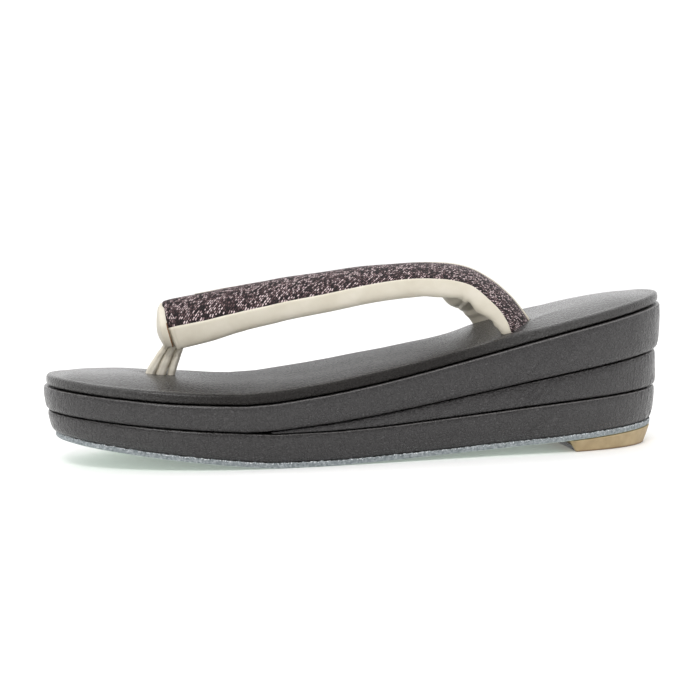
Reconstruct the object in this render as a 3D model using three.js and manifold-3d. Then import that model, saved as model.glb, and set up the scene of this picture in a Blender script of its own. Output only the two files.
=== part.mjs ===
// Zori sandal, right or left foot alike, standing on its forefoot and its heel lift.
// Millimetres, +Z up, toe towards -X, heel towards +X, floor at z = 0.
import * as THREE from "three";
import Module from "manifold-3d";

const wasm = await Module();
wasm.setup();

// Sole sizes
const LENGTH = 240;
const BALL_WIDTH = 82;
const HEEL_WIDTH = 69;
const BALL_AT = 0.33;
const HEEL_AT = 0.76;
const TOE_ROUNDNESS = 2.26;
const HEEL_ROUNDNESS = 2.23;
const CORE_HEIGHT = 56;
const TOE_SPRING = 11;
const HEEL_SPRING = 7.9;
const FLAT_FROM = 0.35;
const FLAT_TO = 0.43;
const OUTSOLE_THICKNESS = 2.2;
const WEDGE_FROM = 0.3;
const WEDGE_HEIGHT = 14.6;
const LIFT_FROM = 0.82;
const LIFT_INSET = 6;
const LIFT_CORNER = 6;

// Footbed sizes
const PAD_EDGE = 4.4;
const PAD_DOME = 3;
const PAD_DOME_RUN = 40;

// Strap sizes
const STRAP_FRONT = 43;
const STRAP_RUN = 137;
const STRAP_RISE = 34;
const STRAP_SPREAD = 25;
const STRAP_WIDTH = 20;
const STRAP_DEPTH = 8;
const STRAP_CROWN = 1.8;
const STRAP_SINK = 2.8;
const FACE_THICKNESS = 1;
const RIM = 1;

// Thong sizes
const BAND_WIDTH = 5;
const BAND_THICKNESS = 2;
const CORD_THICKNESS = 3.7;
const CORD_BREADTH = 6.4;
const CORD_SINK = 3.4;

// Clearance between pieces that lie on each other
const GAP = 0.3;

// Mesh density
const OUTLINE_STEPS = 34;
const ARM_STEPS = 3;

// Core thicknesses along the length, as shares of CORE_HEIGHT; at is a share of LENGTH
const CORE = [
  { at: 0, lower: 0.136, upper: 0.1625 },
  { at: 0.167, lower: 0.165, upper: 0.164 },
  { at: 0.333, lower: 0.192, upper: 0.182 },
  { at: 0.5, lower: 0.198, upper: 0.209 },
  { at: 0.667, lower: 0.216, upper: 0.246 },
  { at: 0.833, lower: 0.234, upper: 0.289 },
  { at: 1, lower: 0.236, upper: 0.325 },
];

// Edge shapes, bottom to top: inset from the outline in millimetres, up as a share of the layer
const OUTSOLE_EDGE = [
  { inset: 4.3, up: 0 },
  { inset: 3.9, up: 0.4 },
  { inset: 3.8, up: 1 },
];
const LOWER_EDGE = [
  { inset: 4.6, up: 0 },
  { inset: 3.5, up: 0.1 },
  { inset: 2.7, up: 0.35 },
  { inset: 2.2, up: 0.65 },
  { inset: 2.1, up: 0.88 },
  { inset: 3.1, up: 1 },
];
const WEDGE_EDGE = [
  { inset: 3.3, up: 0 },
  { inset: 2.2, up: 0.12 },
  { inset: 1.7, up: 0.5 },
  { inset: 1.8, up: 0.88 },
  { inset: 2.9, up: 1 },
];
const UPPER_EDGE = [
  { inset: 2.7, up: 0 },
  { inset: 1.4, up: 0.07 },
  { inset: 0.6, up: 0.25 },
  { inset: 0, up: 0.55 },
  { inset: 0, up: 0.8 },
  { inset: 0.7, up: 0.94 },
  { inset: 2, up: 1 },
];
const PAD_EDGE_SHAPE = [
  { inset: 3, up: 0 },
  { inset: 1.7, up: 0.16 },
  { inset: 1.3, up: 0.4 },
  { inset: 1.8, up: 0.66 },
  { inset: 3.3, up: 0.88 },
  { inset: 6, up: 1 },
];
const LIFT_EDGE = [
  { inset: 0.9, up: 0 },
  { inset: 0.4, up: 0.5 },
  { inset: 0, up: 1 },
];

// One strap arm from the front of the V to its end in the footbed.
// along: share of STRAP_RUN, out: share of STRAP_SPREAD, up: share of STRAP_RISE above the footbed,
// wide and deep: shares of STRAP_WIDTH and STRAP_DEPTH, tilt: of the face, lean: of the sides, degrees
const ARM = [
  { along: 0, out: 0.128, up: 0.735, wide: 0.65, deep: 1.4, tilt: 43, lean: 4 },
  { along: 0.037, out: 0.144, up: 0.765, wide: 0.68, deep: 1.43, tilt: 43, lean: 4 },
  { along: 0.124, out: 0.276, up: 0.838, wide: 0.75, deep: 1.38, tilt: 40, lean: 6 },
  { along: 0.234, out: 0.43, up: 0.935, wide: 0.83, deep: 1.26, tilt: 35, lean: 8 },
  { along: 0.358, out: 0.572, up: 0.994, wide: 0.9, deep: 1.19, tilt: 28, lean: 8 },
  { along: 0.518, out: 0.74, up: 1, wide: 0.97, deep: 1.13, tilt: 21, lean: 8 },
  { along: 0.657, out: 0.86, up: 0.95, wide: 1, deep: 1.08, tilt: 16, lean: 8 },
  { along: 0.752, out: 0.935, up: 0.859, wide: 1, deep: 1.04, tilt: 15, lean: 8 },
  { along: 0.832, out: 0.985, up: 0.706, wide: 0.95, deep: 1, tilt: 17, lean: 10 },
  { along: 0.898, out: 1, up: 0.479, wide: 0.87, deep: 0.95, tilt: 22, lean: 14 },
  { along: 0.945, out: 1, up: 0.232, wide: 0.78, deep: 0.9, tilt: 29, lean: 20 },
  { along: 0.973, out: 0.99, up: 0.029, wide: 0.73, deep: 0.88, tilt: 34, lean: 25 },
  { along: 1, out: 0.98, up: -0.2, wide: 0.7, deep: 0.88, tilt: 36, lean: 26 },
  { along: 1.022, out: 0.97, up: -0.42, wide: 0.7, deep: 0.88, tilt: 36, lean: 26 },
];

// Thong cords, front to back: top and foot are distances from STRAP_FRONT
const CORDS = [
  { top: 2.2, foot: -3.7 },
  { top: 5, foot: 0 },
  { top: 7.7, foot: 3.6 },
];

// Smooth value of a table column at a place on its first column
function tableValue(rows, key, column, place) {
  const last = rows.length - 1;
  if (place <= rows[0][key]) return rows[0][column];
  if (place >= rows[last][key]) return rows[last][column];
  let i = 0;
  while (place > rows[i + 1][key]) i += 1;
  const slope = (k) =>
    (rows[k + 1][column] - rows[k][column]) / (rows[k + 1][key] - rows[k][key]);
  const tangent = (k) => {
    if (k === 0) return slope(0);
    if (k === last) return slope(last - 1);
    const a = slope(k - 1);
    const b = slope(k);
    return a * b > 0 ? (2 * a * b) / (a + b) : 0;
  };
  const step = rows[i + 1][key] - rows[i][key];
  const t = (place - rows[i][key]) / step;
  const p = rows[i][column];
  const q = rows[i + 1][column];
  return (
    p * (2 * t ** 3 - 3 * t ** 2 + 1) +
    tangent(i) * step * (t ** 3 - 2 * t ** 2 + t) +
    q * (3 * t ** 2 - 2 * t ** 3) +
    tangent(i + 1) * step * (t ** 3 - t ** 2)
  );
}

// Half width of the outline at a distance from the toe
function halfWidth(x) {
  const ball = BALL_AT * LENGTH;
  const heel = HEEL_AT * LENGTH;
  if (x < ball) {
    const t = Math.min(1, (ball - x) / ball);
    return (BALL_WIDTH / 2) * (1 - t ** TOE_ROUNDNESS) ** (1 / TOE_ROUNDNESS);
  }
  if (x > heel) {
    const t = Math.min(1, (x - heel) / (LENGTH - heel));
    return (HEEL_WIDTH / 2) * (1 - t ** HEEL_ROUNDNESS) ** (1 / HEEL_ROUNDNESS);
  }
  const t = (x - ball) / (heel - ball);
  const blend = t * t * (3 - 2 * t);
  return BALL_WIDTH / 2 + ((HEEL_WIDTH - BALL_WIDTH) / 2) * blend;
}

// Height of the underside of the outsole above the floor
function soleHeight(x) {
  const t = x / LENGTH;
  if (t < FLAT_FROM) return TOE_SPRING * Math.min(1, (FLAT_FROM - t) / FLAT_FROM) ** 1.25;
  if (t > FLAT_TO) return HEEL_SPRING * ((t - FLAT_TO) / (1 - FLAT_TO)) ** 1.26;
  return 0;
}

// Heights of the surfaces between the layers, counted from the floor
function lowerBase(x) {
  return soleHeight(x) + OUTSOLE_THICKNESS;
}
function wedgeBase(x) {
  return lowerBase(x) + CORE_HEIGHT * tableValue(CORE, "at", "lower", x / LENGTH);
}
function upperBase(x) {
  const t = Math.max(0, (x / LENGTH - WEDGE_FROM) / (1 - WEDGE_FROM));
  return wedgeBase(x) + WEDGE_HEIGHT * t;
}
function padBase(x) {
  return upperBase(x) + CORE_HEIGHT * tableValue(CORE, "at", "upper", x / LENGTH);
}

// Half outline from front to back as points (x, y), closer together at the round ends
function halfOutline(from) {
  const points = [];
  for (let i = 0; i <= OUTLINE_STEPS; i += 1) {
    const x = (LENGTH / 2) * (1 - Math.cos((Math.PI * i) / OUTLINE_STEPS));
    if (x >= from) points.push(new THREE.Vector2(x, halfWidth(x)));
  }
  if (from > 0) points.unshift(new THREE.Vector2(from, halfWidth(from)));
  return points;
}

// Half outline of the heel lift, with rounded front corners
function liftOutline() {
  const from = LIFT_FROM * LENGTH;
  const base = insetOutline(halfOutline(from), LIFT_INSET, true);
  const start = base[0].x;
  const points = [];
  for (let i = 0; i <= 4; i += 1) {
    const angle = (Math.PI / 2) * (i / 4);
    const x = start + LIFT_CORNER * (1 - Math.cos(angle));
    const y = base[0].y - LIFT_CORNER * (1 - Math.sin(angle));
    points.push(new THREE.Vector2(x, y));
  }
  return points.concat(base.filter((p) => p.x > start + LIFT_CORNER + 1));
}

// The same half outline moved inwards along its normals; the two end points stay on the x axis
function insetOutline(points, inset, openFront) {
  const last = points.length - 1;
  return points.map((p, i) => {
    const a = points[Math.max(0, i - 1)];
    const b = points[Math.min(last, i + 1)];
    const along = new THREE.Vector2().subVectors(b, a).normalize();
    const inward = new THREE.Vector2(along.y, -along.x).multiplyScalar(inset);
    if (i === 0 && openFront) inward.set(0, -inset);
    if (i === 0 && !openFront) inward.set(inset, 0);
    if (i === last) inward.set(-inset, 0);
    return new THREE.Vector2(p.x + inward.x, Math.max(0, p.y + inward.y));
  });
}

// Collects points and triangles of one closed body
class Body {
  constructor() {
    this.positions = [];
    this.faces = [];
  }
  point(x, y, z) {
    this.positions.push(x, y, z);
    return this.positions.length / 3 - 1;
  }
  triangle(a, b, c) {
    if (a !== b && b !== c && c !== a) this.faces.push(a, b, c);
  }
  quad(a, b, c, d) {
    this.triangle(a, b, c);
    this.triangle(a, c, d);
  }
  solid() {
    const mesh = new wasm.Mesh({
      numProp: 3,
      vertProperties: new Float32Array(this.positions),
      triVerts: new Uint32Array(this.faces),
    });
    return new wasm.Manifold(mesh);
  }
}

// A layer: edge rows give its rounded wall, base and top its heights, columns the fineness of its top
function layerSolid(outline, openFront, edge, base, top, dome = null) {
  const body = new Body();
  const count = outline.length;
  const rings = edge.map((row) => {
    const inner = insetOutline(outline, row.inset, openFront);
    const height = (p) => base(p.x) + (top(p.x) - base(p.x)) * row.up;
    const near = inner.map((p) => body.point(p.x, -p.y, height(p)));
    const far = inner.map((p, i) => {
      const onAxis = p.y < 1e-6;
      return onAxis ? near[i] : body.point(p.x, p.y, height(p));
    });
    return { near, far, inner };
  });
  for (let j = 0; j + 1 < rings.length; j += 1) {
    const low = rings[j];
    const high = rings[j + 1];
    for (let i = 0; i + 1 < count; i += 1) {
      body.quad(low.near[i], low.near[i + 1], high.near[i + 1], high.near[i]);
      body.quad(low.far[i + 1], low.far[i], high.far[i], high.far[i + 1]);
    }
    body.quad(low.far[0], low.near[0], high.near[0], high.far[0]);
  }
  const floor = rings[0];
  for (let i = 0; i + 1 < count; i += 1) {
    body.quad(floor.near[i], floor.far[i], floor.far[i + 1], floor.near[i + 1]);
  }
  const lid = rings[rings.length - 1];
  const columns = dome ? 10 : 1;
  const rows = lid.inner.map((p, i) => {
    const row = [lid.near[i]];
    for (let c = 1; c < columns; c += 1) {
      const share = (2 * c) / columns - 1;
      const y = p.y * share;
      const closed = p.y < 1e-6;
      row.push(closed ? lid.near[i] : body.point(p.x, y, top(p.x) + dome(p.x, share)));
    }
    row.push(lid.far[i]);
    return row;
  });
  for (let i = 0; i + 1 < count; i += 1) {
    for (let c = 0; c < columns; c += 1) {
      body.quad(rows[i][c], rows[i + 1][c], rows[i + 1][c + 1], rows[i][c + 1]);
    }
  }
  return body.solid();
}

// Height of the domed middle of the footbed over its rolled edge; share runs -1 to 1 across
function padDome(x, share) {
  const end = Math.max(0, Math.min(1, (Math.min(x, LENGTH - x) - 6) / PAD_DOME_RUN));
  return PAD_DOME * (1 - share * share) * (1 - (1 - end) ** 2);
}

// Frame of the near arm at a place on its table: centre of the face between the seams, across and up
function armFrame(place) {
  const value = (column) => tableValue(ARM_PLACES, "place", column, place);
  const centre = (u) => {
    const along = tableValue(ARM_PLACES, "place", "along", u);
    const x = STRAP_FRONT + STRAP_RUN * along;
    const y = -STRAP_SPREAD * tableValue(ARM_PLACES, "place", "out", u);
    const rise = STRAP_RISE * tableValue(ARM_PLACES, "place", "up", u);
    return new THREE.Vector3(x, y, padBase(x) + PAD_EDGE + rise);
  };
  const step = 0.05;
  const tangent = centre(place + step).sub(centre(place - step)).normalize();
  const side = new THREE.Vector3(0, 0, 1).cross(tangent).normalize();
  const up = tangent.clone().cross(side);
  const tilt = THREE.MathUtils.degToRad(value("tilt"));
  const lean = THREE.MathUtils.degToRad(value("lean"));
  const across = side.clone().multiplyScalar(Math.cos(tilt));
  across.addScaledVector(up, Math.sin(tilt));
  const rise = up.clone().multiplyScalar(Math.cos(lean));
  rise.addScaledVector(side, -Math.sin(lean));
  return {
    centre: centre(place),
    across,
    rise,
    half: (STRAP_WIDTH * value("wide")) / 2,
    depth: STRAP_DEPTH * value("deep"),
  };
}
const ARM_PLACES = ARM.map((row, place) => ({ place, ...row }));

// Height of the brocade over the seam line; a is the distance from the middle of the face
function faceCrown(a, half) {
  const inner = half - RIM;
  return 0.4 + STRAP_CROWN * Math.max(0, 1 - (a / inner) ** 2);
}

// Lower half of an arm section, from the inner seam round the underside to the outer seam
function underside(half, depth) {
  const points = [];
  for (let i = 0; i <= 8; i += 1) {
    const angle = (Math.PI * i) / 8;
    const a = half * Math.sign(Math.cos(angle)) * Math.abs(Math.cos(angle)) ** 0.64;
    points.push([a, -depth * Math.abs(Math.sin(angle)) ** 0.64]);
  }
  return points;
}

// Section of the padded core, with a step on top in which the brocade lies
function coreSection({ half, depth }) {
  const points = underside(half, depth);
  const inner = half - RIM;
  const drop = FACE_THICKNESS + GAP;
  points.push([-half + 0.35 * RIM, 0.45], [-inner, 0.4]);
  for (const share of [-1, -0.55, 0, 0.55, 1]) {
    points.push([share * inner, faceCrown(share * inner, half) - drop]);
  }
  points.push([inner, 0.4], [half - 0.35 * RIM, 0.45]);
  return points;
}

// Section of the brocade sheet over the core
function faceSection({ half }) {
  const inner = half - RIM - GAP;
  const shares = [-1, -0.66, -0.33, 0, 0.33, 0.66, 1];
  const above = shares.map((s) => [s * inner, faceCrown(s * inner, half)]);
  const below = shares.map((s) => [s * inner, faceCrown(s * inner, half) - FACE_THICKNESS]);
  return above.reverse().concat(below).reverse();
}

// Outer section of an arm without the step, grown on all sides
function outerSection(frame, grow) {
  const half = frame.half + grow;
  const points = underside(half, frame.depth + grow);
  for (const share of [-0.9, -0.45, 0, 0.45, 0.9]) {
    const a = share * half;
    points.push([a, 0.5 + grow + STRAP_CROWN * (1 - share * share)]);
  }
  return points;
}

// Points of a section in space
function placed(frame, section) {
  return section.map(([a, b]) =>
    frame.centre.clone().addScaledVector(frame.across, a).addScaledVector(frame.rise, b),
  );
}

// Solid swept through the arm frames from one place to another
function sweptArm(from, to, sectionOf) {
  const body = new Body();
  const steps = Math.ceil((to - from) * ARM_STEPS);
  const loops = [];
  let flat = [];
  for (let i = 0; i <= steps; i += 1) {
    const frame = armFrame(from + ((to - from) * i) / steps);
    const section = sectionOf(frame);
    flat = section;
    loops.push(placed(frame, section).map((p) => body.point(p.x, p.y, p.z)));
  }
  return closedLoft(body, loops, flat);
}

// Closes a stack of equal loops into a body; flat is one loop in its own plane
function closedLoft(body, loops, flat) {
  const size = flat.length;
  for (let j = 0; j + 1 < loops.length; j += 1) {
    for (let i = 0; i < size; i += 1) {
      const k = (i + 1) % size;
      body.quad(loops[j][i], loops[j][k], loops[j + 1][k], loops[j + 1][i]);
    }
  }
  const contour = flat.map(([a, b]) => new THREE.Vector2(a, b));
  const caps = THREE.ShapeUtils.triangulateShape(contour, []);
  const last = loops.length - 1;
  const outward = THREE.ShapeUtils.area(contour) > 0;
  for (const [a, b, c] of caps) {
    const order = outward ? [a, c, b] : [a, b, c];
    body.triangle(...order.map((n) => loops[0][n]));
    body.triangle(...order.reverse().map((n) => loops[last][n]));
  }
  const made = body.solid();
  return made.volume() < 0 ? insideOut(body) : made;
}
function insideOut(body) {
  const turned = new Body();
  turned.positions = body.positions;
  for (let i = 0; i < body.faces.length; i += 3) {
    turned.faces.push(body.faces[i], body.faces[i + 2], body.faces[i + 1]);
  }
  return turned.solid();
}

// Keeps what lies over a plane that runs with the footbed, the given depth under its edge height
function overFootbed(solid, at, depth) {
  const slope = (padBase(at + 5) - padBase(at - 5)) / 10;
  const normal = new THREE.Vector3(-slope, 0, 1).normalize();
  const spot = new THREE.Vector3(at, 0, padBase(at) + PAD_EDGE - depth);
  return solid.trimByPlane(normal.toArray(), normal.dot(spot));
}

// Both arms of the V from one: cut at the middle plane and joined with its mirror image
function bothArms(arm) {
  const half = arm.trimByPlane([0, -1, 0], -0.02);
  return half.add(half.mirror([0, 1, 0]));
}

const ARM_END = ARM.length - 1;
const armFoot = STRAP_FRONT + STRAP_RUN * ARM[ARM_END - 2].along;
const strapCore = bothArms(overFootbed(sweptArm(0, ARM_END, coreSection), armFoot, STRAP_SINK));
const strapFace = bothArms(overFootbed(sweptArm(0.25, ARM_END, faceSection), armFoot, STRAP_SINK));
const armPocket = bothArms(
  overFootbed(
    sweptArm(ARM_END - 4, ARM_END, (frame) => outerSection(frame, GAP)),
    armFoot,
    STRAP_SINK + GAP,
  ),
);

// Points of the nose section of both arms at a distance from the toe, grown on all sides
function nosePoints(x, grow) {
  const place = Math.max(0, (x - STRAP_FRONT) / (STRAP_RUN * ARM[1].along));
  const frame = armFrame(Math.min(1.5, place));
  const points = placed(frame, outerSection(frame, grow)).filter((p) => p.y < 0.5);
  const near = points.map((p) => [x, p.y, p.z]);
  return near.concat(near.map(([px, py, pz]) => [px, -py, pz]));
}

// Band round the front of the V, bulged in its middle
function bandSolid() {
  const from = STRAP_FRONT - 0.6;
  const middle = from + BAND_WIDTH / 2;
  const to = from + BAND_WIDTH;
  const skin = GAP + BAND_THICKNESS;
  const outside = wasm.Manifold.hull([
    ...nosePoints(from, skin * 0.72),
    ...nosePoints(middle - BAND_WIDTH * 0.28, skin * 0.97),
    ...nosePoints(middle, skin),
    ...nosePoints(middle + BAND_WIDTH * 0.28, skin * 0.97),
    ...nosePoints(to, skin * 0.72),
  ]);
  const inside = wasm.Manifold.hull([
    ...nosePoints(from - 2, GAP),
    ...nosePoints(from + 1, GAP),
    ...nosePoints(to - 1, GAP),
    ...nosePoints(to + 2, GAP),
  ]);
  return { outside, inside };
}

// One cord from under the V down into the footbed
function cordSolid(row, grow, topHeight, sink) {
  const body = new Body();
  const top = STRAP_FRONT + row.top;
  const foot = STRAP_FRONT + row.foot;
  const floor = padBase(foot) + PAD_EDGE + PAD_DOME * 0.8 - sink - grow;
  const run = 6;
  const size = 12;
  const loops = [];
  const flat = [];
  for (let i = 0; i < size; i += 1) {
    const angle = (2 * Math.PI * i) / size;
    flat.push([Math.cos(angle), Math.sin(angle)]);
  }
  for (let j = 0; j <= run; j += 1) {
    const t = j / run;
    const bend = t ** 1.3;
    const x = foot + (top - foot) * bend;
    const z = floor + (topHeight - floor) * t;
    const loop = flat.map(([a, b]) =>
      body.point(
        x + a * (CORD_THICKNESS / 2 + grow),
        b * (CORD_BREADTH / 2 + grow),
        z,
      ),
    );
    loops.push(loop);
  }
  return closedLoft(body, loops, flat);
}

const band = bandSolid();
const bandFloor = band.outside.boundingBox().min[2];
const cordTop = bandFloor + BAND_THICKNESS * 0.8;
const cords = CORDS.map((row) => cordSolid(row, 0, cordTop, CORD_SINK));
const noseClear = wasm.Manifold.hull([
  ...nosePoints(STRAP_FRONT - 2, GAP),
  ...nosePoints(STRAP_FRONT + 5, GAP),
]);
const thong = band.outside
  .add(cords[0])
  .add(cords[1])
  .add(cords[2])
  .subtract(band.inside)
  .subtract(noseClear);
const cordPocket = CORDS.map((row) => cordSolid(row, GAP, cordTop, CORD_SINK)).reduce((a, b) =>
  a.add(b),
);

const whole = halfOutline(0);
const outsole = layerSolid(
  whole,
  false,
  OUTSOLE_EDGE,
  soleHeight,
  (x) => lowerBase(x) - GAP / 2,
);
const lowerCore = layerSolid(
  whole,
  false,
  LOWER_EDGE,
  (x) => lowerBase(x) + GAP / 2,
  (x) => wedgeBase(x) - GAP / 2,
);
const wedgeTip = LENGTH * (WEDGE_FROM + ((1 - WEDGE_FROM) * (GAP + 0.5)) / WEDGE_HEIGHT);
const wedgeCore = layerSolid(
  halfOutline(wedgeTip),
  true,
  WEDGE_EDGE,
  (x) => wedgeBase(x) + GAP / 2,
  (x) => upperBase(x) - GAP / 2,
);
const upperCore = layerSolid(
  whole,
  false,
  UPPER_EDGE,
  (x) => upperBase(x) + GAP / 2,
  (x) => padBase(x) - GAP / 2,
);
const footbed = layerSolid(
  whole,
  false,
  PAD_EDGE_SHAPE,
  (x) => padBase(x) + GAP / 2,
  (x) => padBase(x) + PAD_EDGE,
  padDome,
)
  .subtract(armPocket)
  .subtract(cordPocket);
const heelLift = layerSolid(
  liftOutline(),
  true,
  LIFT_EDGE,
  () => 0,
  (x) => soleHeight(x) - GAP,
);

// A named mesh of a solid
function named(name, solid, color, roughness) {
  const source = solid.getMesh();
  const geometry = new THREE.BufferGeometry();
  const positions = new Float32Array(source.numVert * 3);
  for (let i = 0; i < source.numVert; i += 1) {
    const start = i * source.numProp;
    positions.set(source.vertProperties.subarray(start, start + 3), i * 3);
  }
  geometry.setAttribute("position", new THREE.BufferAttribute(positions, 3));
  geometry.setIndex(new THREE.BufferAttribute(source.triVerts, 1));
  geometry.computeVertexNormals();
  const material = new THREE.MeshStandardMaterial({ color, roughness });
  const mesh = new THREE.Mesh(geometry, material);
  mesh.name = name;
  mesh.position.x = -LENGTH / 2;
  return mesh;
}

const sandal = new THREE.Group();
sandal.add(
  named("footbed_pad", footbed, 0x6e6a6a, 0.6),
  named("upper_core", upperCore, 0x524f50, 0.6),
  named("wedge_core", wedgeCore, 0x524f50, 0.6),
  named("lower_core", lowerCore, 0x524f50, 0.6),
  named("outsole", outsole, 0x9aa3ab, 0.9),
  named("heel_lift", heelLift, 0xc2ad85, 0.8),
  named("strap_body", strapCore, 0xe2ddd0, 0.5),
  named("strap_face", strapFace, 0x2e2326, 0.7),
  named("toe_thong", thong, 0xe2ddd0, 0.5),
);

export default sandal;
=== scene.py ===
import bmesh
import bpy
import numpy as np
from mathutils import Matrix, Vector
from mathutils.geometry import convex_hull_2d


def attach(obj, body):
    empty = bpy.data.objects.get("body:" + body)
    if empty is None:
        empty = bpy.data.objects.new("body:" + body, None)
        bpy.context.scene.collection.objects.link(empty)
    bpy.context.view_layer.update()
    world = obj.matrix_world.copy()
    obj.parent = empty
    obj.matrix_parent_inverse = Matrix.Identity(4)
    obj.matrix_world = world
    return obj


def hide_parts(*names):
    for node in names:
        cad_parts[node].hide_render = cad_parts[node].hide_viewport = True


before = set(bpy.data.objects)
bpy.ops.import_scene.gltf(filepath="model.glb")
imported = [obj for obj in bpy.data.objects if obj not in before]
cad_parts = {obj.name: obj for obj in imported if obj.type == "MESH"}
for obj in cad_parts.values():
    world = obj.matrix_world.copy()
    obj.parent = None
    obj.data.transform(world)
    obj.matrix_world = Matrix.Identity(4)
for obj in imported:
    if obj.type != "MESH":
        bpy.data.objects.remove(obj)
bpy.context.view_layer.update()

# Camera
# A 79 mm lens on a 36 mm sensor, on the toe side of the sandal and just above its strap. Its lens,
# place and turn were solved by least squares from the sandal's lines in the photograph.
LENS = 79.0
EYE = (-0.099157, -0.584238, 0.092761)
YAW, PITCH, ROLL = 0.16241, 0.09044, -0.01509


def camera_turn():
    """Columns right, up and backwards: the gaze turned by the yaw, dipped by the pitch, then rolled."""
    gaze = np.array([np.sin(YAW) * np.cos(PITCH), np.cos(YAW) * np.cos(PITCH), -np.sin(PITCH)])
    right = np.array([np.cos(YAW), -np.sin(YAW), 0.0])
    up = np.cross(right, gaze)
    turned = np.cos(ROLL) * right + np.sin(ROLL) * up
    return np.stack([turned, -np.sin(ROLL) * right + np.cos(ROLL) * up, -gaze], axis=1)


camera = bpy.data.objects.new("camera", bpy.data.cameras.new("camera"))
bpy.context.scene.collection.objects.link(camera)
camera.data.lens = LENS
camera.data.sensor_width = 36.0
camera.matrix_world = Matrix.Translation(EYE) @ Matrix(camera_turn().tolist()).to_4x4()
bpy.context.scene.camera = camera

# Footbed
# The footbed is a thin foam sheet covered with grained cowhide, which is pulled round its edge and
# glued under it. It is domed towards toe and heel, and dented where the strap goes into it.
LENGTH = 240.0
BALL_WIDTH, HEEL_WIDTH = 82.0, 69.0
BALL_AT, HEEL_AT = 0.33, 0.76
TOE_ROUNDNESS, HEEL_ROUNDNESS = 2.26, 2.23
CORE_HEIGHT = 56.0
TOE_SPRING, HEEL_SPRING = 11.0, 7.9
FLAT_FROM, FLAT_TO = 0.35, 0.43
OUTSOLE_THICKNESS = 2.2
WEDGE_FROM, WEDGE_HEIGHT = 0.3, 14.6
GAP, SEAM = 0.3, 0.08
# Heights of the lower and upper core as shares of CORE_HEIGHT, at shares of the length. They follow
# a least-squares fit to the layers' lines in the photograph.
CORE = {
    "at": (0, 0.167, 0.333, 0.5, 0.667, 0.833, 1),
    "lower": (0.136, 0.165, 0.192, 0.198, 0.216, 0.234, 0.236),
    "upper": (0.1625, 0.164, 0.182, 0.209, 0.246, 0.289, 0.325),
}
PAD_EDGE = 4.4
PAD_WALL = {
    "inset": (4.6, 2.8, 1.5, 0.95, 0.85, 1.0, 1.6, 3.6), "up": (0, 0.035, 0.06, 0.2, 0.42, 0.68, 0.88, 1)
}
PAD_DOME = {
    "at": (6, 12, 20, 32, 46, 70, 110, 150, 185, 205, 216, 226, 234),
    "rise": (0, 1.4, 2.2, 2.9, 2.8, 1.8, 1.0, 1.1, 1.8, 2.4, 2.2, 1.3, 0),
}


def smooth(keys, values, place):
    """A cubic between table rows; its slope at a row is the harmonic mean of both sides, 0 at a turn."""
    keys, values = np.asarray(keys, float), np.asarray(values, float)
    place = np.clip(place, keys[0], keys[-1])
    slope = np.diff(values) / np.diff(keys)
    product, total = slope[:-1] * slope[1:], slope[:-1] + slope[1:]
    inner = np.where(product > 0, 2 * product / np.where(product > 0, total, 1), 0)
    tangent = np.concatenate([slope[:1], inner, slope[-1:]])
    row = np.clip(np.searchsorted(keys, place, side="right") - 1, 0, len(keys) - 2)
    step = keys[row + 1] - keys[row]
    t = (place - keys[row]) / step
    ends = values[row] * (2 * t**3 - 3 * t**2 + 1) + values[row + 1] * (3 * t**2 - 2 * t**3)
    bends = tangent[row] * (t**3 - 2 * t**2 + t) + tangent[row + 1] * (t**3 - t**2)
    return ends + bends * step


def fade(low, high, value):
    """0 below low, 1 above high, and 3t^2 - 2t^3 between."""
    t = np.clip((value - low) / (high - low), 0, 1)
    return t * t * (3 - 2 * t)


def half_width(x):
    """Superellipses round the toe and the heel, and a smooth blend of the two widths between."""
    ball, heel = BALL_AT * LENGTH, HEEL_AT * LENGTH
    toe_share = np.clip((ball - x) / ball, 0, 1)
    heel_share = np.clip((x - heel) / (LENGTH - heel), 0, 1)
    middle = BALL_WIDTH + (HEEL_WIDTH - BALL_WIDTH) * fade(ball, heel, x)
    toe = (1 - toe_share**TOE_ROUNDNESS) ** (1 / TOE_ROUNDNESS)
    back = (1 - heel_share**HEEL_ROUNDNESS) ** (1 / HEEL_ROUNDNESS)
    return middle / 2 * toe * back


def sole_height(x):
    """Flat under the ball of the foot, rising in a soft curve to the toe and to the heel."""
    t = x / LENGTH
    toe = np.clip((FLAT_FROM - t) / FLAT_FROM, 0, 1) ** 1.25
    heel = np.clip((t - FLAT_TO) / (1 - FLAT_TO), 0, 1) ** 1.26
    return TOE_SPRING * toe + HEEL_SPRING * heel


def lower_base(x):
    """Top of the outsole."""
    return sole_height(x) + OUTSOLE_THICKNESS


def wedge_base(x):
    """Top of the lower core."""
    return lower_base(x) + CORE_HEIGHT * smooth(CORE["at"], CORE["lower"], x / LENGTH)


def upper_base(x):
    """Top of the wedge, which grows evenly towards the heel."""
    return wedge_base(x) + WEDGE_HEIGHT * np.clip((x / LENGTH - WEDGE_FROM) / (1 - WEDGE_FROM), 0, 1)


def pad_base(x):
    """Top of the upper core."""
    return upper_base(x) + CORE_HEIGHT * smooth(CORE["at"], CORE["upper"], x / LENGTH)


def ripple(points, size, seed, waves=26):
    """Soft random field from about -1 to 1: sine waves in random directions, about one wave in each size."""
    chance = np.random.default_rng(seed)
    ways = chance.normal(size=(waves, points.shape[-1]))
    ways /= np.linalg.norm(ways, axis=1, keepdims=True)
    ways *= 2 * np.pi / size * chance.uniform(0.6, 1.5, (waves, 1))
    return np.sin(points @ ways.T + chance.uniform(0, 2 * np.pi, waves)).sum(-1) / waves**0.5 / 1.4


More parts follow.
